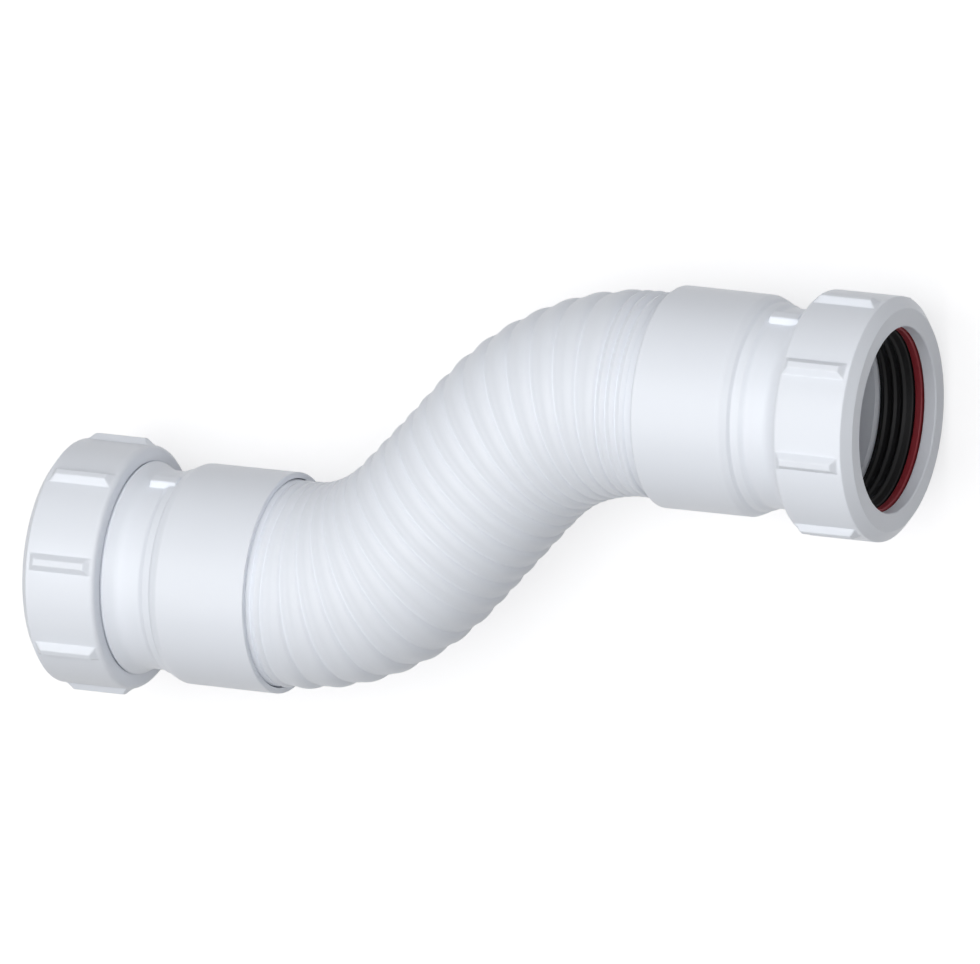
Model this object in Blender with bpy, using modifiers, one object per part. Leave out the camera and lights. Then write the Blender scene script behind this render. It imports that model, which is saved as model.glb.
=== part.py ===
"""Flexible waste connector for 40 mm pipe, lying flat on a floor.

Two compression ends with ribbed nuts stand on the ends of a corrugated tube that is bent
into an S. The tube's bend lies level, so both nuts touch the floor with their ribs.
Every length below is in millimetres; MM turns it into metres.
X runs along both ends' axes, Y is the way the right end is offset, Z is up.
"""
import math

import bmesh
import bpy
from mathutils import Matrix, Vector

MM = 0.001

# Whole part
OFFSET = 56.84              # between the two ends' axes, along Y
GAP = 0.3                   # between pieces that rest on each other
RUNNING_GAP = 0.45          # between the thread zone and the nut that turns on it

# Pipe socket
PIPE_R = 21.75              # largest pipe that goes in
HOLE_ROOM = 1.0             # nut hole over the pipe
SOCKET_ROOM = 0.45          # socket bore over the pipe
SOCKET_WALL = 3.25
STOP_STEP = 3.2             # the ledge that the pipe stops at
STOP_THICK = 3.5
SEAL_BORE_UNDER = 0.15      # the seal grips the pipe
SEAL_RIDGE = 0.6
SEAL_WALLS = (2.4, 1.25)    # of the tapered nose, at the flange and at the tip
SEAL_FLANGE = 3.4
SEAL_NOSE = 5.4
WASHER_THICK = 1.9

# Compression nut, distances are inwards from its outer face
NUT_LENGTH = 20.3
NUT_WALL = 4.1
NUT_LIP = 3.3
NUT_CHAMFER = (2.1, 2.75)   # along the axis, radial
EDGE = 0.5                  # small edge chamfers
RIB_COUNT = 8
RIB_HEIGHT = 1.5
RIB_HALF = (2.15, 0.75)     # half width at the foot and at the top
RIB_START = 3.0
RIB_SLOPE = (1.5, 1.5)      # lean of the outer and inner end, over the height
RIB_SHORT = 1.1             # the ribs stop this short of the nut's inner face
RIB_PHASE = 11.25           # degrees
ROUND_SIDES = 36

# End fitting
THREAD_LENGTH = 9.1
THREAD_DEPTH = 1.05
NECK_LENGTH = 11.5
FLARE_LENGTH = 6.5
# Flare: share of its length, share of its step
FLARE = ((0.12, 0.12), (0.22, 0.42), (0.5, 0.6), (0.54, 0.76), (0.9, 0.86))
FLOOR_BACK = 0.9            # cuff floor behind the flare's end
CUFF_WALL = 1.4
CUFF_DEPTH = 21.7
RIM_ROUND = 1.1             # outer edge of the right cuff's rim
LUG_TURN = 70.5             # degrees from straight up, towards +Y
LUG_SIZE = (7.4, 3.3, 1.75) # along the axis, across it, above the neck
LUG_PAST = 1.9              # the lug runs this far onto the flare

# Corrugated tube
BEND_DEG = 47.47042837      # both bends turn by this, which sets the overall length
BEND_R_LEFT = 45.0
BEND_R_RIGHT = 50.0
TANGENT_LEFT = 3.7          # from the left cuff's edge to the start of the bend
TANGENT_RIGHT = 5.45        # from the end of the bend to the right cuff's edge
TUBE_CREST_R = 25.35        # at the cuffs
TUBE_WAIST_R = 23.75        # halfway, where the bent tube is narrowest
TUBE_DEPTH = 1.4            # crest to root
TUBE_WALL = 0.9
CONVOLUTIONS = 20
BEAD = (0.34, 0.45)         # the small bead in each wave: share of the pitch, under the crest
CREST_AT = 0.66             # share of the pitch
LAST_ROOT = 3.2             # from the last wide wave to the end of the bend
RING_PITCH = 2.6            # the close rings beside each cuff
RINGS_LEFT = 2
RINGS_RIGHT = 3
RING_CREST = 0.1            # the close rings' crest under the wide waves' crest
SLEEVE_OVER = 0.05          # the plain sleeves over the wide waves' crest
SLEEVE_LENGTH = 12.5
TUBE_BEVEL_STEPS = 12       # gives 28 sides

# What follows from the sizes above
NUT_HOLE_R = PIPE_R + HOLE_ROOM
SOCKET_R = PIPE_R + SOCKET_ROOM
WATERWAY_R = SOCKET_R - STOP_STEP
THREAD_R = SOCKET_R + SOCKET_WALL
NECK_R = THREAD_R - THREAD_DEPTH
NUT_BORE_R = THREAD_R + RUNNING_GAP
NUT_R = NUT_BORE_R + NUT_WALL
RIB_TOP_R = NUT_R + RIB_HEIGHT
SEAL_IN_R = PIPE_R - SEAL_BORE_UNDER
WASHER_OUT_R = NUT_BORE_R - RUNNING_GAP
WASHER_IN_R = (NUT_HOLE_R + SEAL_IN_R) / 2.0
WASHER_AT = NUT_LIP + GAP
SEAL_AT = WASHER_AT + WASHER_THICK + GAP
MOUTH_AT = SEAL_AT + SEAL_FLANGE + GAP
THREAD_END = MOUTH_AT + THREAD_LENGTH
NECK_END = THREAD_END + NECK_LENGTH
FLARE_END = NECK_END + FLARE_LENGTH
FLOOR_AT = FLARE_END + FLOOR_BACK
SLEEVE_R = TUBE_CREST_R + SLEEVE_OVER
CUFF_BORE_R = SLEEVE_R + GAP
CUFF_R = CUFF_BORE_R + CUFF_WALL
CUFF_END = FLOOR_AT + CUFF_DEPTH

# Height of both axes: the lowest rib corner touches the floor
RIB_CORNER_R = math.hypot(RIB_TOP_R, RIB_HALF[1])
RIB_CORNER_DEG = RIB_PHASE - math.degrees(math.atan2(RIB_HALF[1], RIB_TOP_R))
AXIS_Z = RIB_CORNER_R * math.cos(math.radians(RIB_CORNER_DEG))

# The tube's centre line: straight, arc, straight, arc, straight. The straight middle makes
# up the rest of the offset, and the whole line sets how far apart the two ends are.
BEND = math.radians(BEND_DEG)
BOTH_R = BEND_R_LEFT + BEND_R_RIGHT
MIDDLE = (OFFSET - BOTH_R * (1.0 - math.cos(BEND))) / math.sin(BEND)
SPAN = BOTH_R * math.sin(BEND) + MIDDLE * math.cos(BEND)
HALF_LENGTH = (TANGENT_LEFT + SPAN + TANGENT_RIGHT) / 2.0 + CUFF_END
LEFT_X = -HALF_LENGTH + CUFF_END + TANGENT_LEFT
RIGHT_X = HALF_LENGTH - CUFF_END - TANGENT_RIGHT
ARC_LEFT = BEND_R_LEFT * BEND
ARC_RIGHT = BEND_R_RIGHT * BEND
LINE_LENGTH = ARC_LEFT + MIDDLE + ARC_RIGHT
PITCH = (LINE_LENGTH - LAST_ROOT) / CONVOLUTIONS
LEFT_PIVOT_X = LEFT_X + BEND_R_LEFT * math.tan(BEND / 2.0)
RIGHT_PIVOT_X = RIGHT_X - BEND_R_RIGHT * math.tan(BEND / 2.0)

for old in list(bpy.data.objects):
    bpy.data.objects.remove(old, do_unlink=True)

part = bpy.data.collections.new("flexible_waste_connector")
cutters = bpy.data.collections.new("cutters")
bpy.context.scene.collection.children.link(part)
bpy.context.scene.collection.children.link(cutters)


def material(name, colour, roughness):
    """A plain Principled material."""
    m = bpy.data.materials.new(name)
    m.use_nodes = True
    shader = m.node_tree.nodes["Principled BSDF"]
    shader.inputs["Base Color"].default_value = (*colour, 1.0)
    shader.inputs["Roughness"].default_value = roughness
    m.diffuse_color = (*colour, 1.0)
    return m


WHITE = material("white_plastic", (0.90, 0.92, 0.95), 0.35)
TUBE_WHITE = material("tube_plastic", (0.90, 0.92, 0.95), 0.38)
RED = material("red_washer", (0.45, 0.03, 0.04), 0.45)
BLACK = material("black_rubber", (0.012, 0.012, 0.013), 0.6)


def fixed(obj):
    """Apply the object's modifiers and return it with a plain mesh."""
    graph = bpy.context.evaluated_depsgraph_get()
    mesh = bpy.data.meshes.new_from_object(obj.evaluated_get(graph))
    obj.modifiers.clear()
    obj.data = mesh
    return obj


def outward(obj):
    """Turn all faces of a closed mesh outwards."""
    work = bmesh.new()
    work.from_mesh(obj.data)
    bmesh.ops.recalc_face_normals(work, faces=work.faces)
    work.to_mesh(obj.data)
    work.free()
    return obj


def lathe(name, profile, sides, where):
    """Turn a closed profile of (distance inwards, radius) about the Z axis.

    The piece is made with its outer face at z = 0 and its body below that.
    """
    mesh = bpy.data.meshes.new(name)
    points = [(r * MM, 0.0, -a * MM) for a, r in profile]
    n = len(points)
    mesh.from_pydata(points, [(i, (i + 1) % n) for i in range(n)], [])
    obj = bpy.data.objects.new(name, mesh)
    where.objects.link(obj)
    screw = obj.modifiers.new("turn", "SCREW")
    screw.axis = "Z"
    screw.angle = 2.0 * math.pi
    screw.steps = sides
    screw.render_steps = sides
    screw.screw_offset = 0.0
    screw.use_merge_vertices = True
    screw.merge_threshold = 0.00001
    fixed(obj)
    return outward(obj)


def place(obj, side):
    """Stand a turned piece on the end's axis: side is 1 for the right end, -1 for the left."""
    turn = Matrix.Rotation(math.radians(90.0 * side), 4, "Y")
    spot = Vector((side * HALF_LENGTH, side * OFFSET / 2.0, AXIS_Z)) * MM
    obj.matrix_world = Matrix.Translation(spot) @ turn
    return obj


def block(name, corners, where):
    """A cube whose eight corners are moved to the given places."""
    mesh = bpy.data.meshes.new(name)
    work = bmesh.new()
    bmesh.ops.create_cube(work, size=2.0)
    for v in work.verts:
        key = (v.co.x > 0, v.co.y > 0, v.co.z > 0)
        v.co = Vector(corners[key]) * MM
    bmesh.ops.recalc_face_normals(work, faces=work.faces)
    work.to_mesh(mesh)
    work.free()
    obj = bpy.data.objects.new(name, mesh)
    where.objects.link(obj)
    return obj


def joined(name, pieces, where):
    """One mesh object from several that don't touch."""
    work = bmesh.new()
    for p in pieces:
        copy = p.data.copy()
        copy.transform(p.matrix_world)
        work.from_mesh(copy)
    mesh = bpy.data.meshes.new(name)
    work.to_mesh(mesh)
    work.free()
    obj = bpy.data.objects.new(name, mesh)
    where.objects.link(obj)
    for p in pieces:
        bpy.data.objects.remove(p, do_unlink=True)
    return obj


def tool(obj):
    """Mark an object as a cutter: not rendered, shown as wire."""
    obj.hide_render = True
    obj.display_type = "WIRE"
    return obj


def merged(body, extra):
    """Union of a body with a cutter object."""
    tool(extra)
    b = body.modifiers.new("union", "BOOLEAN")
    b.operation = "UNION"
    b.solver = "EXACT"
    b.object = extra
    return fixed(body)


def radial_block(name, turn_deg, base, top, where):
    """A block standing on a cylinder about Z: base and top are (half width, radius, z ends)."""
    corners = {}
    for up in (False, True):
        half, radius, ends = top if up else base
        for along in (False, True):
            for across in (False, True):
                y = half if across else -half
                z = -ends[0] if along else -ends[1]
                corners[(up, across, along)] = (radius, y, z)
    obj = block(name, corners, where)
    obj.matrix_world = Matrix.Rotation(math.radians(turn_deg), 4, "Z")
    bpy.context.view_layer.update()
    return obj


def nut(name, side):
    """A compression nut: a lipped ring with a chamfered outer end and eight grip ribs."""
    profile = [
        (0.0, NUT_R - NUT_CHAMFER[1]),
        (NUT_CHAMFER[0], NUT_R),
        (NUT_LENGTH - EDGE, NUT_R),
        (NUT_LENGTH, NUT_R - EDGE),
        (NUT_LENGTH, NUT_BORE_R + EDGE),
        (NUT_LENGTH - EDGE, NUT_BORE_R),
        (NUT_LIP, NUT_BORE_R),
        (NUT_LIP, NUT_HOLE_R),
        (EDGE, NUT_HOLE_R),
        (0.0, NUT_HOLE_R + EDGE),
    ]
    body = lathe(name, profile, ROUND_SIDES, part)
    ribs = []
    sink = NUT_WALL / 4.0
    rib_end = NUT_LENGTH - RIB_SHORT
    lean = sink / RIB_HEIGHT
    foot = RIB_HALF[0] + (RIB_HALF[0] - RIB_HALF[1]) * lean
    low = (RIB_START - RIB_SLOPE[0] * lean, rib_end + RIB_SLOPE[1] * lean)
    high = (RIB_START + RIB_SLOPE[0], rib_end - RIB_SLOPE[1])
    for k in range(RIB_COUNT):
        turn = RIB_PHASE + 360.0 / RIB_COUNT * k
        ribs.append(radial_block(f"rib_{k}", turn, (foot, NUT_R - sink, low),
                                 (RIB_HALF[1], RIB_TOP_R, high), cutters))
    merged(body, joined(name + "_ribs", ribs, cutters))
    place(body, side)
    body.data.materials.append(WHITE)
    return body


def washer(name, side):
    """The stiff ring between the nut's lip and the seal."""
    a = WASHER_AT
    b = WASHER_AT + WASHER_THICK
    profile = [(a, WASHER_OUT_R), (b, WASHER_OUT_R), (b, WASHER_IN_R), (a, WASHER_IN_R)]
    body = lathe(name, profile, ROUND_SIDES, part)
    place(body, side)
    body.data.materials.append(RED)
    return body


def seal(name, side):
    """The rubber seal: a flange, a tapered nose and three inner ridges."""
    flange = SEAL_AT + SEAL_FLANGE
    tip = flange + SEAL_NOSE
    out = WASHER_OUT_R - GAP
    profile = [
        (SEAL_AT, out),
        (flange - 0.1, out),
        (flange, SEAL_IN_R + SEAL_WALLS[0]),
        (tip, SEAL_IN_R + SEAL_WALLS[1]),
        (tip, SEAL_IN_R + 0.1),
    ]
    step = (SEAL_FLANGE + SEAL_NOSE) / 3.4
    for k in (2, 1, 0):
        at = SEAL_AT + step * (k + 0.75)
        profile += [(at + 0.6, SEAL_IN_R), (at, SEAL_IN_R - SEAL_RIDGE), (at - 0.6, SEAL_IN_R)]
    profile.append((SEAL_AT, SEAL_IN_R + EDGE))
    body = lathe(name, profile, ROUND_SIDES, part)
    place(body, side)
    body.data.materials.append(BLACK)
    return body


def fitting(name, side):
    """The moulded end: pipe socket, neck with two lugs, stepped flare and cuff.

    Both cuffs end in an open rim. The right one's outer edge is rounded.
    """
    seat = SEAL_IN_R + GAP
    tip = MOUTH_AT + SEAL_NOSE
    profile = [
        (MOUTH_AT, THREAD_R - EDGE),
        (MOUTH_AT + EDGE, THREAD_R),
        (THREAD_END, THREAD_R),
        (THREAD_END + THREAD_DEPTH, NECK_R),
        (NECK_END, NECK_R),
    ]
    for along, up in FLARE:
        profile.append((NECK_END + along * FLARE_LENGTH, NECK_R + up * (CUFF_R - NECK_R)))
    profile.append((FLARE_END, CUFF_R))
    edge = RIM_ROUND if side > 0 else GAP
    profile += [
        (CUFF_END - edge, CUFF_R),
        (CUFF_END - 0.3 * edge, CUFF_R - 0.3 * edge),
        (CUFF_END, CUFF_R - edge),
        (CUFF_END, CUFF_BORE_R),
    ]
    profile += [
        (FLOOR_AT, CUFF_BORE_R),
        (FLOOR_AT, WATERWAY_R),
        (FLOOR_AT - STOP_THICK, WATERWAY_R),
        (FLOOR_AT - STOP_THICK, SOCKET_R),
        (tip + 1.2, SOCKET_R),
        (tip, seat + SEAL_WALLS[1]),
        (MOUTH_AT, seat + SEAL_WALLS[0]),
    ]
    body = lathe(name, profile, ROUND_SIDES, part)
    lugs = []
    for k in (0, 1):
        turn = (180.0 - LUG_TURN if side > 0 else LUG_TURN) + 180.0 * k
        end = NECK_END + LUG_PAST
        ends = (end - LUG_SIZE[0], end)
        half = LUG_SIZE[1] / 2.0
        low = (half + 0.2, NECK_R - 0.8, ends)
        high = (half, NECK_R + LUG_SIZE[2], (ends[0] + 0.3, ends[1] - 0.1))
        lugs.append(radial_block(f"lug_{k}", turn, low, high, cutters))
    merged(body, joined(name + "_lugs", lugs, cutters))
    place(body, side)
    body.data.materials.append(WHITE)
    return body


def centre_line(s):
    """Point on the tube's centre line, s from where the left bend starts."""
    low, high = -OFFSET / 2.0, OFFSET / 2.0
    if s < 0.0:
        return LEFT_X + s, low
    if s <= ARC_LEFT:
        t = s / BEND_R_LEFT
        return LEFT_X + BEND_R_LEFT * math.sin(t), low + BEND_R_LEFT * (1.0 - math.cos(t))
    if s <= ARC_LEFT + MIDDLE:
        d = s - ARC_LEFT
        x = LEFT_X + BEND_R_LEFT * math.sin(BEND) + d * math.cos(BEND)
        y = low + BEND_R_LEFT * (1.0 - math.cos(BEND)) + d * math.sin(BEND)
        return x, y
    if s <= LINE_LENGTH:
        t = (LINE_LENGTH - s) / BEND_R_RIGHT
        return RIGHT_X - BEND_R_RIGHT * math.sin(t), high - BEND_R_RIGHT * (1.0 - math.cos(t))
    return RIGHT_X + s - LINE_LENGTH, high


def crest_radius(s):
    """Radius of the waves' crest: full at the cuffs and least halfway along the bent tube."""
    way = min(1.0, abs(2.0 * s / LINE_LENGTH - 1.0))
    return TUBE_WAIST_R + (TUBE_CREST_R - TUBE_WAIST_R) * way ** 1.4


def tube_stations():
    """(distance along the centre line, outer radius) of every ring of the tube's side."""
    ring_root = TUBE_CREST_R - 0.65 * TUBE_DEPTH
    ring_top = TUBE_CREST_R - RING_CREST
    floor = HALF_LENGTH - FLOOR_AT - GAP
    left_end = -floor - LEFT_X
    left_start = left_end + SLEEVE_LENGTH
    right_end = LINE_LENGTH + floor - RIGHT_X
    right_start = right_end - SLEEVE_LENGTH
    out = [(left_end, SLEEVE_R - EDGE), (left_end + EDGE, SLEEVE_R), (left_start, SLEEVE_R)]
    start = -RINGS_LEFT * RING_PITCH
    out.append((start - 0.5 * RING_PITCH, ring_root + 0.2))
    for k in range(RINGS_LEFT):
        s = start + k * RING_PITCH
        out += [(s, ring_root), (s + 0.5 * RING_PITCH, ring_top)]
    for k in range(CONVOLUTIONS):
        s = k * PITCH
        bead, crest = s + BEAD[0] * PITCH, s + CREST_AT * PITCH
        out += [
            (s, crest_radius(s) - TUBE_DEPTH),
            (bead, crest_radius(bead) - BEAD[1]),
            (crest, crest_radius(crest)),
        ]
    s = CONVOLUTIONS * PITCH
    out.append((s, crest_radius(s) - TUBE_DEPTH))
    for k in range(RINGS_RIGHT):
        out += [(s + (k + 0.5) * RING_PITCH, ring_top), (s + (k + 1.0) * RING_PITCH, ring_root)]
    out.append((s + (RINGS_RIGHT + 0.5) * RING_PITCH, ring_root + 0.2))
    out += [(right_start, SLEEVE_R), (right_end - EDGE, SLEEVE_R), (right_end, SLEEVE_R - EDGE)]
    return out


def tube(name):
    """The corrugated tube: a bevelled curve with a radius at each point, given a wall."""
    curve = bpy.data.curves.new(name, "CURVE")
    curve.dimensions = "3D"
    curve.twist_mode = "Z_UP"
    curve.bevel_depth = MM
    curve.bevel_resolution = TUBE_BEVEL_STEPS
    curve.use_fill_caps = False
    stations = tube_stations()
    spline = curve.splines.new("POLY")
    spline.points.add(len(stations) - 1)
    for p, (s, r) in zip(spline.points, stations):
        x, y = centre_line(s)
        p.co = ((x - LEFT_PIVOT_X) * MM, (y + OFFSET / 2.0) * MM, 0.0, 1.0)
        p.radius = r
    source = bpy.data.objects.new(name + "_line", curve)
    source.location = Vector((LEFT_PIVOT_X, -OFFSET / 2.0, AXIS_Z)) * MM
    cutters.objects.link(source)
    graph = bpy.context.evaluated_depsgraph_get()
    mesh = bpy.data.meshes.new_from_object(source.evaluated_get(graph))
    tool(source)
    mesh.materials.clear()
    obj = bpy.data.objects.new(name, mesh)
    obj.location = source.location
    part.objects.link(obj)
    work = bmesh.new()
    work.from_mesh(mesh)
    bmesh.ops.remove_doubles(work, verts=work.verts, dist=0.00001)
    bmesh.ops.recalc_face_normals(work, faces=work.faces)
    face = max(work.faces, key=lambda f: f.calc_center_median().z)
    if face.normal.z < 0.0:
        bmesh.ops.reverse_faces(work, faces=work.faces)
    work.to_mesh(mesh)
    work.free()
    wall = obj.modifiers.new("wall", "SOLIDIFY")
    wall.thickness = TUBE_WALL * MM
    wall.offset = -1.0
    wall.use_rim = True
    wall.use_even_offset = True
    fixed(obj)
    outward(obj)
    obj.data.materials.append(TUBE_WHITE)
    return obj


def hinge_point(name, x, y):
    """An empty on a bend's vertical axis, for the pieces that swing about it."""
    axis = bpy.data.objects.new(name, None)
    axis.location = Vector((x, y, AXIS_Z)) * MM
    axis.empty_display_size = 0.01
    part.objects.link(axis)
    return axis


for end, side in (("left", -1), ("right", 1)):
    fitting(end + "_end", side)
    seal(end + "_seal", side)
    washer(end + "_washer", side)
    nut(end + "_nut", side)
tube("bellows")
bpy.context.view_layer.update()

right_bend = hinge_point("right_bend_axis", RIGHT_PIVOT_X, OFFSET / 2.0)
bpy.context.view_layer.update()
for name in ("right_end", "right_seal"):
    child = bpy.data.objects[name]
    kept = child.matrix_world.copy()
    child.parent = right_bend
    child.matrix_parent_inverse = right_bend.matrix_world.inverted()
    child.matrix_world = kept
bpy.context.view_layer.update()
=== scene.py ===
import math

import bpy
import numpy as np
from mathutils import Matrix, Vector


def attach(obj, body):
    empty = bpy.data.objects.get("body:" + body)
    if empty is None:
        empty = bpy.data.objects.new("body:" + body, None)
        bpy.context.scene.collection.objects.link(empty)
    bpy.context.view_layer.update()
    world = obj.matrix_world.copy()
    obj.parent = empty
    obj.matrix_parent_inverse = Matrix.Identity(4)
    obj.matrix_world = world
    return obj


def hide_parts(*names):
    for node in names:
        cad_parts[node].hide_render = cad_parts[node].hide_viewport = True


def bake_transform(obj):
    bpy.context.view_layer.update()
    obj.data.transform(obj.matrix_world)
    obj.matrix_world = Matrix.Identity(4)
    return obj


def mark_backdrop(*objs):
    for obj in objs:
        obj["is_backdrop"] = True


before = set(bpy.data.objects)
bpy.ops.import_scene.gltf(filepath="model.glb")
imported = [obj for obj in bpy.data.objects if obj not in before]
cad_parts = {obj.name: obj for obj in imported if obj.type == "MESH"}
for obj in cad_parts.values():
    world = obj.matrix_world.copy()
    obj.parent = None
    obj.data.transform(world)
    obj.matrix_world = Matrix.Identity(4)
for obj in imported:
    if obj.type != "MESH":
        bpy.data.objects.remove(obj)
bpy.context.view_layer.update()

# %% [markdown]
# # Flexible waste connector
#
# This is the bendy piece that joins a sink or bath outlet to 40 mm waste pipe. A corrugated
# tube is bent into an S, and each end carries a compression joint: a ribbed nut, a red
# friction washer and a black rubber seal. It lies flat on the floor on its nuts' ribs.
#
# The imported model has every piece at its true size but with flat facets. Each piece is made
# again here as a smooth surface in the same place. Lengths are in millimetres, and MM turns
# them into metres when a mesh is written.

MM = 0.001
HALF_LENGTH = 110.73      # middle of the S to a nut's outer face
OFFSET = 56.84            # between the two ends' axes
AXIS_Z = 31.041           # height of the axes over the floor
GAP = 0.3                 # between pieces that rest on each other
THREAD_PITCH = 3.0
NUT_R = 30.0
NUT_BORE_R = 25.9
NUT_HOLE_R = 22.75
NUT_LENGTH = 20.3
NECK_R = 24.4
SOCKET_R = 22.2
COLLAR_R = 25.6           # where the thread runs out under the nut
CUFF_R = 27.1
CUFF_BORE_R = 25.7
CUFF_END = 59.2
CUFF_FLOOR = 37.5         # depth of the cuff's floor from the nut's outer face

# %% [markdown]
# ## Turned surfaces
#
# All the end pieces were moulded round an axis, so each is an outline turned about that axis.
# Blender's Screw modifier could turn it, but ribs, lugs and threads would then need Booleans.
# A grid of points is simpler: one direction follows the outline, the other goes round, and
# a rib is only a place where the radius grows. The outline's corners are rounded first,
# because a moulded edge is never sharp and its small arc is what catches the light.

# %% Round the corners of an outline
def fillet_corner(before, corner, after, radius):
    """Arc that replaces a corner.

    It touches both sides at radius / tan(half the corner's angle) from the corner, and its
    centre lies on the bisector at radius / sin(half) from it.
    """
    u = (before - corner) / np.linalg.norm(before - corner)
    v = (after - corner) / np.linalg.norm(after - corner)
    half = math.acos(float(np.clip(u @ v, -1.0, 1.0))) / 2.0
    if radius <= 0.0 or half > math.pi / 2.0 - 0.01:
        return corner[None, :]
    room = 0.48 * min(np.linalg.norm(before - corner), np.linalg.norm(after - corner))
    reach = min(radius / math.tan(half), room)
    centre = corner + (u + v) / np.linalg.norm(u + v) * reach / math.cos(half)
    start = corner + u * reach - centre
    end = corner + v * reach - centre
    first = math.atan2(start[1], start[0])
    turn = math.atan2(end[1], end[0]) - first
    turn = (turn + math.pi) % (2.0 * math.pi) - math.pi
    angles = first + turn * np.linspace(0.0, 1.0, max(3, round(abs(turn) / 0.3)) + 1)
    size = np.linalg.norm(start)
    return centre + size * np.stack([np.cos(angles), np.sin(angles)], axis=1)


def outline(corners):
    """Closed outline from rows of (distance inwards, radius, fillet, step).

    After each corner's arc the straight side is cut into parts no longer than its step, with
    a short part at each end, so that the shading of a flat side stays flat.
    """
    rows = np.array(corners, float)
    p = rows[:, :2]
    arcs = [
        fillet_corner(p[i - 1], p[i], p[(i + 1) % len(p)], rows[i, 2]) for i in range(len(p))
    ]
    parts = []
    for i, arc in enumerate(arcs):
        here = arc[-1]
        there = arcs[(i + 1) % len(arcs)][0]
        length = np.linalg.norm(there - here)
        shares = np.linspace(0.0, 1.0, max(1, math.ceil(length / rows[i, 3])) + 1)
        if length > 1.0:
            edge = 0.12 / length
            shares = np.unique(np.concatenate([shares, [edge, 1.0 - edge]]))
        parts += [arc, here + (there - here) * shares[1:-1, None]]
    return np.concatenate(parts)


# %% Turn a grid of points into a mesh
def solid_from_grid(name, grid):
    """Closed mesh from a grid of points, in millimetres, that wraps both ways.

    Quad (i, j) joins grid points (i, j), (i + 1, j), (i + 1, j + 1) and (i, j + 1). If the
    signed volume, the sum of a . (b x c) / 6 over its triangles, is negative, it is reversed.
    """
    rows, columns = grid.shape[:2]
    i = np.arange(rows)[:, None]
    j = np.arange(columns)[None, :]
    down = (i + 1) % rows
    across = (j + 1) % columns
    quads = np.stack(
        [i * columns + j, down * columns + j, down * columns + across, i * columns + across],
        axis=-1,
    ).reshape(-1, 4)
    points = grid.reshape(-1, 3)
    corner = [points[quads[:, k]] for k in range(4)]
    volume = (corner[0] * np.cross(corner[1], corner[2])).sum()
    volume += (corner[0] * np.cross(corner[2], corner[3])).sum()
    if volume < 0.0:
        quads = quads[:, ::-1]
    mesh = bpy.data.meshes.new(name)
    mesh.from_pydata((points * MM).tolist(), [], quads.tolist())
    mesh.polygons.foreach_set("use_smooth", np.ones(len(quads), bool))
    mesh.update()
    obj = bpy.data.objects.new(name, mesh)
    bpy.context.scene.collection.objects.link(obj)
    print(f"{name}: {2 * len(quads)} triangles, {abs(volume) / 6000.0:.1f} cm3")
    return obj


def turned(points, angles, lift=None):
    """Outline points (distance inwards a, radius r) turned about the z axis.

    The point at angle t is ((r + lift) cos t, (r + lift) sin t, -a).
    """
    a = points[:, 0][:, None]
    t = angles[None, :]
    r = points[:, 1][:, None] + (lift if lift is not None else 0.0)
    r = np.broadcast_to(r, (len(points), len(angles)))
    return np.stack([r * np.cos(t), r * np.sin(t), np.broadcast_to(-a, r.shape)], axis=-1)


def on_end(grid, side):
    """Lay a turned grid on the left (-1) or right (1) end's axis, outer face outwards.

    A quarter turn about Y takes z to side * X and x to -side * Z.
    """
    x, y, z = grid[..., 0], grid[..., 1], grid[..., 2]
    placed = np.stack([side * z, y, -side * x], axis=-1)
    return placed + np.array([side * HALF_LENGTH, side * OFFSET / 2.0, AXIS_Z])


def ease(x):
    """Smooth step 3 x^2 - 2 x^3 between 0 and 1."""
    x = np.clip(x, 0.0, 1.0)
    return x * x * (3.0 - 2.0 * x)


def thread_wave(a, t, shift):
    """Height, 0 to 1, of a right-hand screw thread at distance a inwards and angle t.

    The wave is a cosine of the phase a / pitch + t / 2 pi, squared up a little so that its
    crests and roots are flat.
    """
    phase = a / THREAD_PITCH + t / (2.0 * math.pi) + shift
    return np.clip(0.5 + 0.8 * np.cos(2.0 * math.pi * phase), 0.0, 1.0)


# %% [markdown]
# ## Finishes
#
# The photograph shows one cool white plastic on the nuts, the ends and the tube, a dark red
# washer and a black seal. Moulded plastic is not one flat colour: it has a faint mottle from
# the melt, a fine texture from the mould and small differences in gloss. Three materials use
# that, so it is one node group with its own scale and strength in each material.

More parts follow.
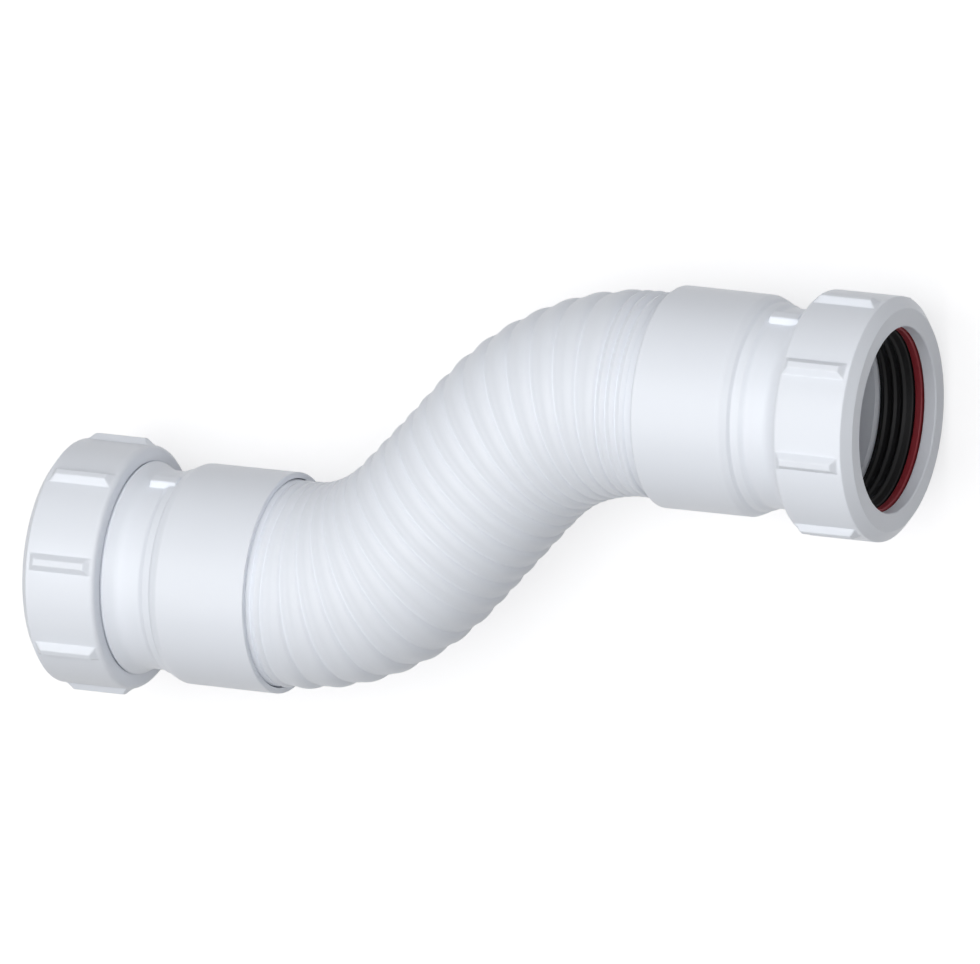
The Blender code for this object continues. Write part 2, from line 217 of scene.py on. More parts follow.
# %% The mould texture group
def mould_texture_group():
    """Node group that puts out a mottled Colour, an uneven Roughness and a fine Normal."""
    tree = bpy.data.node_groups.new("mould_texture", "ShaderNodeTree")
    face = tree.interface
    face.new_socket("Base", in_out="INPUT", socket_type="NodeSocketColor")
    for name, value in (
        ("Mottle", 0.02), ("Gloss", 0.3), ("Gloss change", 0.06),
        ("Grain size", 3000.0), ("Grain depth", 0.1),
    ):
        number = face.new_socket(name, in_out="INPUT", socket_type="NodeSocketFloat")
        number.default_value = value
    face.new_socket("Colour", in_out="OUTPUT", socket_type="NodeSocketColor")
    face.new_socket("Roughness", in_out="OUTPUT", socket_type="NodeSocketFloat")
    face.new_socket("Normal", in_out="OUTPUT", socket_type="NodeSocketVector")
    nodes, link = tree.nodes, tree.links.new
    given = nodes.new("NodeGroupInput")
    out = nodes.new("NodeGroupOutput")
    place = nodes.new("ShaderNodeTexCoord")

    flow = nodes.new("ShaderNodeTexNoise")
    flow.inputs["Scale"].default_value = 45.0
    flow.inputs["Detail"].default_value = 3.0
    link(place.outputs["Object"], flow.inputs["Vector"])
    centred = nodes.new("ShaderNodeMath")
    centred.operation = "SUBTRACT"
    centred.inputs[1].default_value = 0.5
    link(flow.outputs["Fac"], centred.inputs[0])

    shade = nodes.new("ShaderNodeMath")
    shade.operation = "MULTIPLY_ADD"
    shade.inputs[2].default_value = 1.0
    link(centred.outputs[0], shade.inputs[0])
    link(given.outputs["Mottle"], shade.inputs[1])
    tint = nodes.new("ShaderNodeVectorMath")
    tint.operation = "SCALE"
    link(given.outputs["Base"], tint.inputs[0])
    link(shade.outputs[0], tint.inputs["Scale"])
    link(tint.outputs[0], out.inputs["Colour"])

    gloss = nodes.new("ShaderNodeMath")
    gloss.operation = "MULTIPLY_ADD"
    link(centred.outputs[0], gloss.inputs[0])
    link(given.outputs["Gloss change"], gloss.inputs[1])
    link(given.outputs["Gloss"], gloss.inputs[2])
    link(gloss.outputs[0], out.inputs["Roughness"])

    grain = nodes.new("ShaderNodeTexNoise")
    grain.inputs["Detail"].default_value = 2.0
    link(place.outputs["Object"], grain.inputs["Vector"])
    link(given.outputs["Grain size"], grain.inputs["Scale"])
    bump = nodes.new("ShaderNodeBump")
    bump.inputs["Distance"].default_value = 0.00002
    link(grain.outputs["Fac"], bump.inputs["Height"])
    link(given.outputs["Grain depth"], bump.inputs["Strength"])
    link(bump.outputs["Normal"], out.inputs["Normal"])
    return tree


MOULD_TEXTURE = mould_texture_group()


# %% [markdown]
# Each material places the group and feeds a Principled shader. Clearness, specular level and
# subsurface are the same all over a piece, so they are set on the shader itself.

# %% The four materials
def moulded(name, base, mottle, gloss, gloss_change, grain_size, grain_depth, specular):
    """Principled material whose colour, roughness and normal come from the mould texture."""
    material = bpy.data.materials.new(name)
    material.use_nodes = True
    nodes, link = material.node_tree.nodes, material.node_tree.links.new
    shader = nodes["Principled BSDF"]
    texture = nodes.new("ShaderNodeGroup")
    texture.node_tree = MOULD_TEXTURE
    texture.inputs["Base"].default_value = (*base, 1.0)
    texture.inputs["Mottle"].default_value = mottle
    texture.inputs["Gloss"].default_value = gloss
    texture.inputs["Gloss change"].default_value = gloss_change
    texture.inputs["Grain size"].default_value = grain_size
    texture.inputs["Grain depth"].default_value = grain_depth
    link(texture.outputs["Colour"], shader.inputs["Base Color"])
    link(texture.outputs["Roughness"], shader.inputs["Roughness"])
    link(texture.outputs["Normal"], shader.inputs["Normal"])
    shader.inputs["Specular IOR Level"].default_value = specular
    return material


WHITE_PLASTIC = moulded(
    "cool_white_plastic", (0.865, 0.90, 0.96), mottle=0.02, gloss=0.36, gloss_change=0.08,
    grain_size=2600.0, grain_depth=0.10, specular=0.4,
)
TUBE_PLASTIC = moulded(
    "flexible_white_plastic", (0.865, 0.90, 0.96), mottle=0.03, gloss=0.40, gloss_change=0.10,
    grain_size=1800.0, grain_depth=0.16, specular=0.35,
)
RED_PLASTIC = moulded(
    "dark_red_washer", (0.26, 0.022, 0.030), mottle=0.16, gloss=0.45, gloss_change=0.12,
    grain_size=2200.0, grain_depth=0.25, specular=0.4,
)
RUBBER = moulded(
    "black_seal_rubber", (0.0035, 0.0035, 0.0038), mottle=0.30, gloss=0.55, gloss_change=0.15,
    grain_size=1500.0, grain_depth=0.35, specular=0.25,
)

# %% [markdown]
# ## Compression nuts
#
# A nut is a short cup with a hole for the pipe. Its outer end is chamfered, and eight ribs
# give the hand a grip. The ribs are flat on top, lean a little at the sides and slope at the
# outer end. Inside there is a right-hand thread that meshes with the one on the end fitting.
# The angles round the nut are not even: they crowd together at the flanks of the ribs.

# %% Shape of a nut
RIB_COUNT = 8
RIB_HEIGHT = 1.5
RIB_FLANK = (2.325, 0.575)    # half width where the flank starts and ends, with its rounding
RIB_PHASE = math.radians(11.25)
RIB_OUTER = (2.85, 4.65)      # where the outer slope starts and ends
RIB_INNER = (19.35, 17.55)
ROUNDING = 0.2                # share of a slope that its round foot, and its round top, take
NUT_THREAD = (9.3, 10.3, 18.2, 19.2)
NUT_THREAD_DEPTH = 0.62
NUT_SKIN = 1.2                # how far under NUT_R an outline point still counts as outside
NUT_BORE_SKIN = 0.3           # how far off NUT_BORE_R it still counts as in the bore
RIB_CUTS = np.array([         # across half a rib, in millimetres round the nut
    -2.7, -2.42, -2.33, -2.24, -2.15, -2.06, -1.97, -1.9, -1.45,
    -1.0, -0.93, -0.84, -0.75, -0.66, -0.57, -0.5, -0.2,
])
PLAIN_CUTS = 16               # between two ribs

NUT_OUTLINE = outline([
    (0.0, NUT_HOLE_R, 0.45, 0.8),
    (0.0, 27.25, 0.35, 0.5),
    (2.1, NUT_R, 0.5, 0.25),
    (5.0, NUT_R, 0.0, 0.9),
    (17.2, NUT_R, 0.0, 0.25),
    (NUT_LENGTH, NUT_R, 1.3, 0.8),
    (NUT_LENGTH, 26.1, 0.1, 0.4),
    (20.0, NUT_BORE_R, 0.1, 0.3),
    (3.3, NUT_BORE_R, 0.25, 0.8),
    (3.3, NUT_HOLE_R, 0.3, 0.6),
])


def rib_angles():
    """Angles round the nut: close together over each rib, wide apart between ribs."""
    across = np.concatenate([RIB_CUTS, -RIB_CUTS[::-1]]) / NUT_R
    spacing = 2.0 * math.pi / RIB_COUNT
    plain = np.linspace(across[-1], spacing + across[0], PLAIN_CUTS + 2)[1:-1]
    one = np.concatenate([across, plain])
    return (RIB_PHASE + spacing * np.arange(RIB_COUNT)[:, None] + one[None, :]).ravel()


def slope(x):
    """Straight slope from 0 to 1 with a round foot and top.

    The foot is x^2 / (2 w (1 - w)) for x under w, the middle is (x - w / 2) / (1 - w), and the
    top is the foot turned upside down. Their heights and slopes agree where they meet.
    """
    x = np.clip(x, 0.0, 1.0)
    foot = x * x / (2.0 * ROUNDING * (1.0 - ROUNDING))
    top = 1.0 - (1.0 - x) ** 2 / (2.0 * ROUNDING * (1.0 - ROUNDING))
    middle = (x - ROUNDING / 2.0) / (1.0 - ROUNDING)
    return np.where(x < ROUNDING, foot, np.where(x > 1.0 - ROUNDING, top, middle))


def rib_lift(a, t):
    """Rib height at distance a inwards and angle t: the least of its four slopes.

    Taking the least, and not the product, keeps the ridges between the slopes crisp.
    """
    spacing = 2.0 * math.pi / RIB_COUNT
    off = (t - RIB_PHASE + spacing / 2.0) % spacing - spacing / 2.0
    flank = slope((RIB_FLANK[0] - np.abs(off) * NUT_R) / (RIB_FLANK[0] - RIB_FLANK[1]))
    outer = slope((a - RIB_OUTER[0]) / (RIB_OUTER[1] - RIB_OUTER[0]))
    inner = slope((RIB_INNER[0] - a) / (RIB_INNER[0] - RIB_INNER[1]))
    return RIB_HEIGHT * np.minimum(flank, np.minimum(outer, inner))


def window(a, low, low_full, high_full, high):
    """1 between low_full and high_full, easing to 0 at low and high."""
    return ease((a - low) / (low_full - low)) * ease((high - a) / (high - high_full))


def make_nut(name, side):
    """Nut with ribs outside and the thread inside."""
    t = rib_angles()
    a = NUT_OUTLINE[:, 0][:, None]
    outside = (NUT_OUTLINE[:, 1] > NUT_R - NUT_SKIN)[:, None] & (a > 1.0)
    bore = (np.abs(NUT_OUTLINE[:, 1] - NUT_BORE_R) < NUT_BORE_SKIN)[:, None]
    lift = np.where(outside, rib_lift(a, t[None, :]), 0.0)
    thread = thread_wave(a, t[None, :], 0.5) * window(a, *NUT_THREAD)
    lift = lift - np.where(bore, NUT_THREAD_DEPTH * thread, 0.0)
    nut = solid_from_grid(name, on_end(turned(NUT_OUTLINE, t, lift), side))
    nut.data.materials.append(WHITE_PLASTIC)
    return nut


nut_left = make_nut("nut_left", -1)
nut_right = make_nut("nut_right", 1)

# %% [markdown]
# ## Washers and seals
#
# Behind the nut's lip lies a thin red washer. It lets the nut turn without dragging the seal.
# The seal is soft rubber with a tapered nose that is pressed into the socket's mouth, and
# three low ridges that grip the pipe. Both are plain turned rings.

# %% Shape of a washer and a seal
ROUND = np.linspace(0.0, 2.0 * math.pi, 192, endpoint=False)
WASHER_OUTLINE = outline([
    (3.6, 22.25, 0.35, 0.6),
    (3.6, 25.45, 0.35, 0.6),
    (5.5, 25.45, 0.35, 0.6),
    (5.5, 22.25, 0.35, 0.6),
])
SEAL_OUTLINE = outline([
    (5.8, 22.0, 0.4, 0.6),
    (5.8, 25.1, 0.4, 0.6),
    (9.2, 25.1, 0.25, 0.6),
    (9.25, 24.0, 0.2, 0.8),
    (14.6, 22.85, 0.35, 0.6),
    (14.6, 21.9, 0.3, 0.4),
    (13.9, 21.65, 0.3, 0.4),
    (13.2, 21.1, 0.35, 0.4),
    (12.5, 21.65, 0.3, 0.4),
    (11.4, 21.65, 0.3, 0.4),
    (10.7, 21.1, 0.35, 0.4),
    (10.0, 21.65, 0.3, 0.4),
    (8.9, 21.65, 0.3, 0.4),
    (8.2, 21.1, 0.35, 0.4),
    (7.5, 21.65, 0.3, 0.4),
])


def make_ring(name, shape, side, material):
    """A plain turned ring on one end."""
    ring = solid_from_grid(name, on_end(turned(shape, ROUND), side))
    ring.data.materials.append(material)
    return ring


washer_left = make_ring("washer_left", WASHER_OUTLINE, -1, RED_PLASTIC)
washer_right = make_ring("washer_right", WASHER_OUTLINE, 1, RED_PLASTIC)
seal_left = make_ring("seal_left", SEAL_OUTLINE, -1, RUBBER)
seal_right = make_ring("seal_right", SEAL_OUTLINE, 1, RUBBER)

# %% [markdown]
# ## End fittings
#
# One moulding holds the pipe socket with its outside thread, a neck, a flare in two small
# steps and a cuff for the tube. The left cuff ends in a square rim, and the right one's rim
# has a round outer edge, with the tube's close rings right beside it. A soft shoulder stands
# just behind the nut. Each neck has two lugs that run onto the flare, so the angles crowd at
# their flanks as they do on the nut.

# %% Shape of an end fitting
SOCKET_THREAD = (9.9, 10.7, 17.7, 18.6)
SOCKET_THREAD_ROOT = 24.75
SOCKET_THREAD_DEPTH = 0.65
LUG_TURN = {-1: math.radians(72.0), 1: math.radians(73.1)}
LUG_HALF = (1.95, 1.35)
LUG_TOP_R = 26.15
LUG_CUTS = np.array([-2.1, -1.95, -1.8, -1.65, -1.5, -1.35, -0.9, 0.0])   # half a lug
LUG_ROOM = 2.3               # half width, round the neck, that the even angles leave free
LUG_ENDS = {-1: (25.6, 26.1, 32.7, 33.1), 1: (22.4, 22.9, 30.2, 30.7)}

SOCKET_SIDE = [
    (9.5, 24.35, 0.2, 0.5),
    (9.5, SOCKET_THREAD_ROOT, 0.1, 0.3),
    (18.7, SOCKET_THREAD_ROOT, 0.2, 0.4),
    (19.1, COLLAR_R, 0.2, 0.3),
    (20.6, COLLAR_R, 0.05, 0.3),
    (20.6, 26.25, 0.3, 0.3),
    (21.2, 26.1, 0.8, 0.3),
    (24.2, NECK_R, 4.0, 0.3),
    (30.0, NECK_R, 1.6, 0.3),
    (31.3, 25.2, 0.6, 0.25),
    (33.2, 25.6, 0.5, 0.25),
    (33.9, 26.3, 0.6, 0.3),
    (35.7, CUFF_R, 1.8, 0.8),
]
CUFF_ENDS = {
    -1: [(CUFF_END, CUFF_R + 0.1, 0.35, 0.4), (CUFF_END, CUFF_BORE_R, 0.1, 0.8)],
    1: [(CUFF_END, CUFF_R + 0.1, 1.1, 0.2), (CUFF_END, CUFF_BORE_R, 0.25, 0.8)],
}
WATER_SIDE = [
    (CUFF_FLOOR, CUFF_BORE_R, 0.4, 0.8),
    (CUFF_FLOOR, 19.0, 0.4, 0.8),
    (34.0, 19.0, 0.4, 0.8),
    (34.0, SOCKET_R, 0.4, 1.2),
    (16.1, SOCKET_R, 0.3, 0.6),
    (14.9, 23.15, 0.2, 0.8),
]


def lug_angles(turn):
    """Angles round the fitting: even, with more of them at the flanks of both lugs."""
    even = np.linspace(0.0, 2.0 * math.pi, 160, endpoint=False)
    across = np.concatenate([LUG_CUTS, -LUG_CUTS[-2::-1]]) / NECK_R
    middles = np.array([turn, turn + math.pi])
    near = np.abs((even[:, None] - middles + math.pi) % (2.0 * math.pi) - math.pi).min(axis=1)
    kept = even[near > LUG_ROOM / NECK_R]
    added = (middles[:, None] + across).ravel() % (2.0 * math.pi)
    return np.sort(np.concatenate([kept, added]))


def make_end(name, side):
    """End fitting: lugs are raised to a fixed radius, and the thread is a wave on the socket.

    On the right end the lugs' angle is measured from the other side of the axis.
    """
    turn = LUG_TURN[side] if side < 0 else math.pi - LUG_TURN[side]
    t = lug_angles(turn)
    shape = outline(SOCKET_SIDE + CUFF_ENDS[side] + WATER_SIDE)
    a = shape[:, 0][:, None]
    r = shape[:, 1][:, None]
    off = np.abs((t[None, :] - turn + math.pi / 2.0) % math.pi - math.pi / 2.0)
    flank = ease((LUG_HALF[0] - off * NECK_R) / (LUG_HALF[0] - LUG_HALF[1]))
    outside = r > NECK_R - 0.05
    lug = flank * window(a, *LUG_ENDS[side]) * np.maximum(LUG_TOP_R - r, 0.0)
    lift = np.where(outside & (a > 20.0) & (a < 33.0), lug, 0.0)
    on_socket = (r > SOCKET_THREAD_ROOT - 0.2) & (a < 19.0)
    thread = SOCKET_THREAD_DEPTH * thread_wave(a, t[None, :], 0.0) * window(a, *SOCKET_THREAD)
    lift = lift + np.where(on_socket, thread, 0.0)
    end = solid_from_grid(name, on_end(turned(shape, t, lift), side))
    end.data.materials.append(WHITE_PLASTIC)
    return end


end_left = make_end("end_left", -1)
end_right = make_end("end_right", 1)

# %% [markdown]
# ## The corrugated tube
#
# The tube is a profile carried along a bent line. Its waves are not even all round: on the
# outside of a bend they are pulled open and stand proud, and on the inside they are pushed
# together and lie flat. So the radius depends on the place along the line and on the angle
# round it. The tube is made in two halves that meet in its straight middle.

# %% The tube's centre line
LEFT_START = -47.43          # X where the left bend starts
LEFT_ARC = (44.98, -0.205)   # mean radius, and how much the bend tightens along it
RIGHT_ARC = (58.88, 0.272)
BEND = math.radians(47.42)
LINE_STEP = 0.1


def bend_line():
    """Centre line as rows of (s, x, y, heading), s from the start of the left bend.

    The curvature of an arc of length L at share u is bend / L (1 + c (u - 1/2)). The heading
    is its running sum, and the place is the running sum of the heading's cosine and sine. The
    straight between the arcs makes up the rest of the offset.
    """
    bits = []
    for (radius, change), way in ((LEFT_ARC, 1.0), (RIGHT_ARC, -1.0)):
        length = radius * BEND
        count = round(length / LINE_STEP)
        u = (np.arange(count) + 0.5) / count
        turn = way * BEND / count * (1.0 + change * (u - 0.5))
        first = 0.0 if way > 0.0 else BEND
        heading = first + np.concatenate([[0.0], np.cumsum(turn)])
        middle = (heading[1:] + heading[:-1]) / 2.0
        step = length / count
        x = np.concatenate([[0.0], np.cumsum(np.cos(middle) * step)])
        y = np.concatenate([[0.0], np.cumsum(np.sin(middle) * step)])
        bits.append((np.arange(count + 1) * step, x, y, heading))
    (s1, x1, y1, h1), (s2, x2, y2, h2) = bits
    straight = (OFFSET - y1[-1] - y2[-1]) / math.sin(BEND)
    low = -OFFSET / 2.0
    s2 = s2 + s1[-1] + straight
    x2 = x2 + LEFT_START + x1[-1] + straight * math.cos(BEND)
    y2 = y2 + low + y1[-1] + straight * math.sin(BEND)
    lead = 60.0
    return np.stack([
        np.concatenate([[-lead], s1, s2, [s2[-1] + lead]]),
        np.concatenate([[LEFT_START - lead], LEFT_START + x1, x2, [x2[-1] + lead]]),
        np.concatenate([[low], low + y1, y2, [y2[-1]]]),
        np.concatenate([[0.0], h1, h2, [0.0]]),
    ])


LINE = bend_line()
LINE_END = LINE[0, -2]
RIGHT_END_X = LINE[1, -2]
print(f"centre line {LINE_END:.2f} mm, bends end at X {RIGHT_END_X:.2f}")

# %% [markdown]
# ### The wave
#
# Seen in a slice, each wave is a round lobe with a deep crease at its foot and a faint crease
# on its flank. The table gives that slice once, as height under the crest against the share
# of the pitch, and a smooth curve through it is repeated. Bending has made the tube a little
# narrower halfway along, and in its right half it lies outside its own centre line.

# %% Radius of the tube along and round it
PITCH = 5.51
RIGHT_PITCH = 5.31
FIRST_CREASE = -0.6
WAVES = 14                   # wide waves with the first pitch
RIGHT_WAVES = 6
CLOSE_PITCH = 2.6
CLOSE_LEFT = 2
CLOSE_RIGHT = 3
SLEEVE_R = 25.55
TUBE_WALL = 0.9
WAVE_SHARE = np.array([
    0.0, 0.05, 0.11, 0.20, 0.29, 0.36, 0.44, 0.55, 0.65, 0.75, 0.85, 0.92, 0.97, 1.0,
])
WAVE_DEPTH = np.array([
    1.0, 0.80, 0.62, 0.44, 0.36, 0.38, 0.22, 0.06, 0.0, 0.04, 0.17, 0.38, 0.74, 1.0,
])
CLOSE_SHARE = np.array([0.0, 0.15, 0.5, 0.85, 1.0])
CLOSE_DEPTH = np.array([1.0, 0.5, 0.0, 0.5, 1.0])
LEFT_SLEEVE = np.array([     # cuts from the tube's left end inwards
    0.0, 0.15, 0.5, 2.0, 6.0, 10.0, 12.0, 12.6, 13.4, 14.4, 15.4, 16.4, 17.4, 18.4,
])
RIGHT_SLEEVE = np.array([    # and outwards to its right end
    14.0, 13.2, 12.4, 11.4, 10.4, 9.6, 9.0, 6.0, 2.0, 0.5, 0.15, 0.0,
])
SLEEVE_CLEAR = 0.3           # between a sleeve's last cut and the first crease
SLEEVE_EASE = 5.0            # over which the waves grow out of the sleeve
SPLIT_CUT = 0.02             # beside the split, so that the shading of its cap stays there
SMOOTH = 0.06                # of the wave, as a share of the pitch
OPEN_DEPTH = 0.86            # crease depth on a straight stretch
OPEN_POWER = 1.0             # how fast creases deepen where the tube is pulled open
WAIST_AT = np.array([
    -6.0, 0.0, 8.0, 16.0, 24.0, 32.0, 40.0, 50.0,
    60.0, 68.0, 76.0, 84.0, 92.0, 100.0, 108.0, 120.0,
])
WAIST_R = np.array([
    25.6, 25.45, 25.1, 24.85, 24.55, 24.15, 23.87, 23.75,
    23.68, 23.72, 23.95, 24.3, 24.7, 25.05, 25.25, 25.3,
])
ASIDE_AT = np.array([40.0, 50.0, 60.0, 68.0, 76.0, 84.0, 92.0, 100.0, 108.0, 115.0])
ASIDE = np.array([0.0, 0.03, 0.15, 0.35, 0.75, 0.98, 0.92, 0.78, 0.4, 0.0])


def wave_table(share, depth):
    """The slice as 256 even samples, smoothed by a running mean that wraps round."""
    u = np.arange(256) / 256.0
    raw = np.interp(u, share, depth)
    reach = int(SMOOTH * 256 / 2)
    kernel = np.ones(2 * reach + 1) / (2 * reach + 1)
    wide = np.concatenate([raw, raw, raw])
    return np.convolve(wide, kernel, mode="same")[256:512]


WIDE_WAVE = wave_table(WAVE_SHARE, WAVE_DEPTH)
CLOSE_WAVE = wave_table(CLOSE_SHARE, CLOSE_DEPTH)
TURNING = FIRST_CREASE + PITCH * WAVES
LAST_WIDE = TURNING + RIGHT_PITCH * RIGHT_WAVES
CREASES = np.concatenate([
    FIRST_CREASE + CLOSE_PITCH * np.arange(-CLOSE_LEFT, 0),
    FIRST_CREASE + PITCH * np.arange(WAVES + 1),
    TURNING + RIGHT_PITCH * np.arange(1, RIGHT_WAVES + 1),
    LAST_WIDE + CLOSE_PITCH * np.arange(1, CLOSE_RIGHT + 1),
])


def wave_stations(per_wave=15):
    """Places along the line: sleeves, then every wave cut finely, close to its creases."""
    share = np.linspace(0.0, 1.0, per_wave, endpoint=False)
    share = share - 0.07 * np.sin(4.0 * math.pi * share) / 2.0
    starts, lengths = CREASES[:-1], np.diff(CREASES)
    inner = (starts[:, None] + lengths[:, None] * share).ravel()
    floor = HALF_LENGTH - CUFF_FLOOR - GAP
    left_end = -floor - LEFT_START
    right_end = LINE_END + floor - RIGHT_END_X
    left = left_end + LEFT_SLEEVE
    right = right_end - RIGHT_SLEEVE
    left = left[left < CREASES[0] - SLEEVE_CLEAR]
    right = right[right > CREASES[-1] + SLEEVE_CLEAR]
    return np.concatenate([left, inner, [CREASES[-1]], right])


SPLIT = CREASES[CLOSE_LEFT + 10]
STATIONS = np.sort(np.append(wave_stations(), [SPLIT - SPLIT_CUT, SPLIT + SPLIT_CUT]))


def crease_depth(s, stretch):
    """Depth under the crest: the repeated slice times a depth that grows where it is open.

    With stretch e, the crease is e to the power OPEN_POWER times as deep as on a straight.
    """
    k = np.clip(np.searchsorted(CREASES, s, side="right") - 1, 0, len(CREASES) - 2)
    share = np.clip((s - CREASES[k]) / (CREASES[k + 1] - CREASES[k]), 0.0, 1.0)
    close = (CREASES[k + 1] - CREASES[k]) < 0.8 * PITCH
    u = np.arange(257) / 256.0
    wide = np.interp(share, u, np.append(WIDE_WAVE, WIDE_WAVE[0]))
    tight = 0.9 * np.interp(share, u, np.append(CLOSE_WAVE, CLOSE_WAVE[0])) + 0.1
    shape = np.where(close, tight, wide)
    return OPEN_DEPTH * shape[:, None] * stretch ** OPEN_POWER


def sleeve_blend(s):
    """1 on the plain sleeves, 0 on the waves."""
    left = ease((CREASES[0] - SLEEVE_CLEAR - s) / SLEEVE_EASE)
    right = ease((s - CREASES[-1] - SLEEVE_CLEAR) / SLEEVE_EASE)
    return np.maximum(left, right)


# %% [markdown]
# ### The rings lean
#
# The creases do not lie square to the centre line. Bending has pushed them over, most of all
# beside the right cuff, where they also bow. Each ring of the grid is moved along the line by
# an amount that depends on how far its points lie to the outside of the bend, so the creases
# follow the grid, and the mesh stays as fine there as everywhere else.

# %% Sweep the radius along the line
LEAN_AT = np.array([
    -5.0, 5.0, 16.0, 27.0, 44.0, 60.0, 71.0, 76.5,
    82.0, 92.6, 103.2, 108.4, 111.0, 113.6, 117.0,
])
LEAN_SLOPE = np.array([
    0.0, 0.7, 1.3, 1.2, 1.3, 1.1, 1.2, 1.5,
    2.1, 2.9, 3.3, 3.3, 2.1, 1.0, 0.0,
])
LEAN_BOW = np.array([
    0.0, -0.1, 0.0, -0.3, -0.8, -0.7, -0.8, -0.9,
    -0.75, -0.9, -1.4, -1.5, -1.0, -0.5, 0.0,
])
LEAN_CURL = np.array([
    0.0, 0.0, 0.0, 0.0, 0.0, 0.0, 0.0, -0.3,
    -0.7, -1.0, -0.5, -0.1, 0.0, 0.0, 0.0,
])


def lean(s, t):
    """How far each point of a ring moves along the line: a v + b v^2 + c v^3 with v = cos t."""
    v = np.cos(t)[None, :]
    return (
        np.interp(s, LEAN_AT, LEAN_SLOPE)[:, None] * v
        + np.interp(s, LEAN_AT, LEAN_BOW)[:, None] * v * v
        + np.interp(s, LEAN_AT, LEAN_CURL)[:, None] * v**3
    )


def tube_radius(s, t):
    """Outer radius at places s and angles t."""
    heading = np.interp(s, LINE[0], LINE[3])
    curvature = np.gradient(heading, s)
    stretch = 1.0 - curvature[:, None] * WAIST_R.mean() * np.cos(t)[None, :]
    stretch = np.clip(stretch, 0.3, 1.8)
    waves = np.interp(s, WAIST_AT, WAIST_R)[:, None] - crease_depth(s, stretch)
    plain = sleeve_blend(s)[:, None]
    return waves * (1.0 - plain) + SLEEVE_R * plain


def sweep(s, t, r):
    """Points of the tube: centre + r (cos t n + sin t z), n square to the line's heading.

    The centre is the line's point at s + lean(s, t), moved aside along n.
    """
    s = s[:, None] + lean(s, t)
    x = np.interp(s, LINE[0], LINE[1])
    y = np.interp(s, LINE[0], LINE[2])
    h = np.interp(s, LINE[0], LINE[3])
    across = r * np.cos(t)[None, :] + np.interp(s, ASIDE_AT, ASIDE)
    return np.stack([
        x - across * np.sin(h),
        y + across * np.cos(h),
        AXIS_Z + r * np.sin(t)[None, :],
    ], axis=-1)


def make_tube_half(name, s):
    """Closed half tube: the outer skin there, and the inner skin, a wall thinner, back."""
    t = np.linspace(0.0, 2.0 * math.pi, 168, endpoint=False)
    outer = tube_radius(s, t)
    inside = s[::2] if (len(s) % 2) else np.append(s[::2], s[-1])
    inner = tube_radius(inside, t) - TUBE_WALL
    skin = np.concatenate([sweep(s, t, outer), sweep(inside, t, inner)[::-1]])
    half = solid_from_grid(name, skin)
    half.data.materials.append(TUBE_PLASTIC)
    return half


tube_left = make_tube_half("tube_left", STATIONS[STATIONS <= SPLIT + 1e-6])
tube_right = make_tube_half("tube_right", STATIONS[STATIONS >= SPLIT - 1e-6])

# %% [markdown]
# ## Which piece moves with what
#
# A nut turns and travels with its own body, a washer only travels, and the seals and end
# fittings stay with their end. The two halves of the tube are not attached to a body: their
# place is baked into their meshes.


for side, nut, washer, seal, end in (
    ("left", nut_left, washer_left, seal_left, end_left),
    ("right", nut_right, washer_right, seal_right, end_right),
):
    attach(nut, side + "_nut")
    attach(washer, side + "_washer")
    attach(seal, side + "_end")
    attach(end, side + "_end")
    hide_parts(side + "_nut")
    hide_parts(side + "_washer")
    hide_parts(side + "_seal")
    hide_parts(side + "_end")

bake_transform(tube_left)
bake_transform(tube_right)
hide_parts("bellows")
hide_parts("bellows")

# %% [markdown]
# ## The studio
#
# The photograph was taken on pure white with broad soft light from near the camera. The floor
# is a pale plane. For camera rays it glows a little, so that it reads as white round the
# object and still shows the soft shadow where the connector keeps the light off.

# %% Floor and world
FLOOR_SIZE = 6.0
FLOOR_GLOW = 0.66
AMBIENT = 0.02


def either(nodes, link, first, second):
    """Output of a Maximum node: 1 where the first or the second input is 1."""
    larger = nodes.new("ShaderNodeMath")
    larger.operation = "MAXIMUM"
    link(first, larger.inputs[0])
    link(second, larger.inputs[1])
    return larger.outputs[0]


def seen_rays(nodes, link):
    """1 for the rays that make the white background: from the camera, through and off surfaces."""
    rays = nodes.new("ShaderNodeLightPath")
    seen = either(nodes, link, rays.outputs["Is Camera Ray"], rays.outputs["Is Transmission Ray"])
    return either(nodes, link, seen, rays.outputs["Is Glossy Ray"])


def make_floor():
    """A flat square under the part, pale and matte, with a glow for the seen rays only."""
    edge = FLOOR_SIZE / 2.0
    corners = np.array([[-1, -1, 0], [1, -1, 0], [1, 1, 0], [-1, 1, 0]], float) * edge
    mesh = bpy.data.meshes.new("floor")
    mesh.from_pydata(corners.tolist(), [], [(0, 1, 2, 3)])
    floor = bpy.data.objects.new("floor", mesh)
    bpy.context.scene.collection.objects.link(floor)
    material = bpy.data.materials.new("pale_floor")
    material.use_nodes = True
    nodes, link = material.node_tree.nodes, material.node_tree.links.new
    shader = nodes["Principled BSDF"]
    shader.inputs["Base Color"].default_value = (0.50, 0.50, 0.51, 1.0)
    shader.inputs["Roughness"].default_value = 0.9
    shader.inputs["Specular IOR Level"].default_value = 0.0
    glow = nodes.new("ShaderNodeMath")
    glow.operation = "MULTIPLY"
    glow.inputs[1].default_value = FLOOR_GLOW
    link(seen_rays(nodes, link), glow.inputs[0])
    shader.inputs["Emission Color"].default_value = (1.0, 1.0, 1.0, 1.0)
    link(glow.outputs[0], shader.inputs["Emission Strength"])
    mesh.materials.append(material)
    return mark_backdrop(floor)


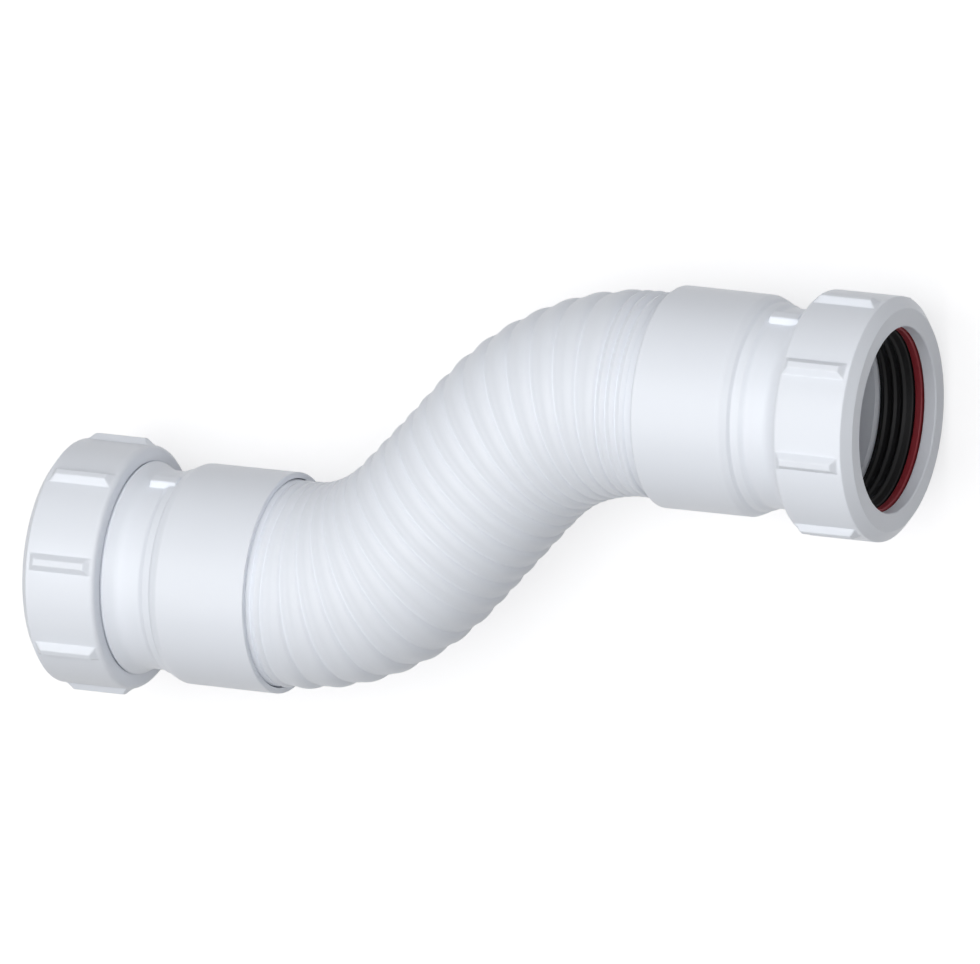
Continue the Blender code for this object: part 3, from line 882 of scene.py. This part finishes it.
def make_world(ambient):
    """White for the seen rays, and an even dim light on everything else."""
    world = bpy.data.worlds.new("white_room")
    world.use_nodes = True
    nodes, link = world.node_tree.nodes, world.node_tree.links.new
    shade = nodes["Background"]
    level = nodes.new("ShaderNodeMix")
    level.data_type = "FLOAT"
    level.inputs["A"].default_value = ambient
    level.inputs["B"].default_value = 1.0
    link(seen_rays(nodes, link), level.inputs["Factor"])
    link(level.outputs["Result"], shade.inputs["Strength"])
    shade.inputs["Color"].default_value = (0.97, 0.98, 1.0, 1.0)
    bpy.context.scene.world = world


floor = make_floor()
make_world(AMBIENT)

# %% [markdown]
# The lamps are large and stand well back, so their shadows have soft edges. Most of the light
# comes from straight above, because the surfaces that face up are the brightest in the
# photograph. A smaller lamp at the camera's side reaches into the open socket.

# %% Lamps and camera
RIGHT = np.array([0.9094, 0.0, -0.4159])
UP = np.array([-0.0921, 0.9752, -0.2013])
BACK = np.array([0.4056, 0.2214, 0.8868])
ROLL = math.radians(0.334)
PIXELS_PER_MM = 4.1095
FRAME_SIZE = (980.0, 964.0)
S_CENTRE_PIXEL = (481.80, 489.98)
DISTANCE = 10.0
LAMP_DISTANCE = 1.6
LAMPS = (                    # name, direction, size in metres, power in watts
    ("key", (0.05, -0.49, 0.87), 1.6, 3.2),
    ("second", (0.05, 0.52, 0.85), 1.6, 6.5),
    ("top", (-0.20, 0.0, 0.98), 1.6, 14.5),
    ("camera_side", (0.55, 0.10, 0.83), 0.9, 5.4),
    ("far", (0.10, 0.95, 0.30), 0.9, 1.8),
)


def aim(obj, place, direction, up):
    """Put an object at a place with its local +Z along direction and its local +Y near up."""
    z = Vector(direction).normalized()
    x = Vector(up).cross(z).normalized()
    y = z.cross(x)
    turn = Matrix((x, y, z)).transposed().to_4x4()
    obj.matrix_world = Matrix.Translation(Vector(place)) @ turn


def make_lamp(name, direction, size, power):
    """Square area lamp that looks at the part from a direction."""
    light = bpy.data.lights.new(name, "AREA")
    light.shape = "SQUARE"
    light.size = size
    light.energy = power
    lamp = bpy.data.objects.new(name, light)
    bpy.context.scene.collection.objects.link(lamp)
    way = np.array(direction, float) / np.linalg.norm(direction)
    aim(lamp, way * LAMP_DISTANCE, way, (0.0, 1.0, 0.1))
    return lamp


for name, direction, size, power in LAMPS:
    make_lamp(name, direction, size, power)

right = math.cos(ROLL) * RIGHT + math.sin(ROLL) * UP
up = -math.sin(ROLL) * RIGHT + math.cos(ROLL) * UP
aside = (FRAME_SIZE[0] / 2.0 - S_CENTRE_PIXEL[0]) / PIXELS_PER_MM
above = (S_CENTRE_PIXEL[1] - FRAME_SIZE[1] / 2.0) / PIXELS_PER_MM
target = (np.array([0.0, 0.0, AXIS_Z]) + aside * right + above * up) * MM
camera_data = bpy.data.cameras.new("camera")
camera = bpy.data.objects.new("camera", camera_data)
bpy.context.scene.collection.objects.link(camera)
camera_data.lens = camera_data.sensor_width * PIXELS_PER_MM * DISTANCE / MM / FRAME_SIZE[0]
camera_data.clip_end = 100.0
aim(camera, target + BACK * DISTANCE, BACK, up)
bpy.context.scene.camera = camera
bpy.context.scene.view_settings.view_transform = "Standard"
print(f"lens {camera_data.lens:.0f} mm at {DISTANCE:.0f} m")
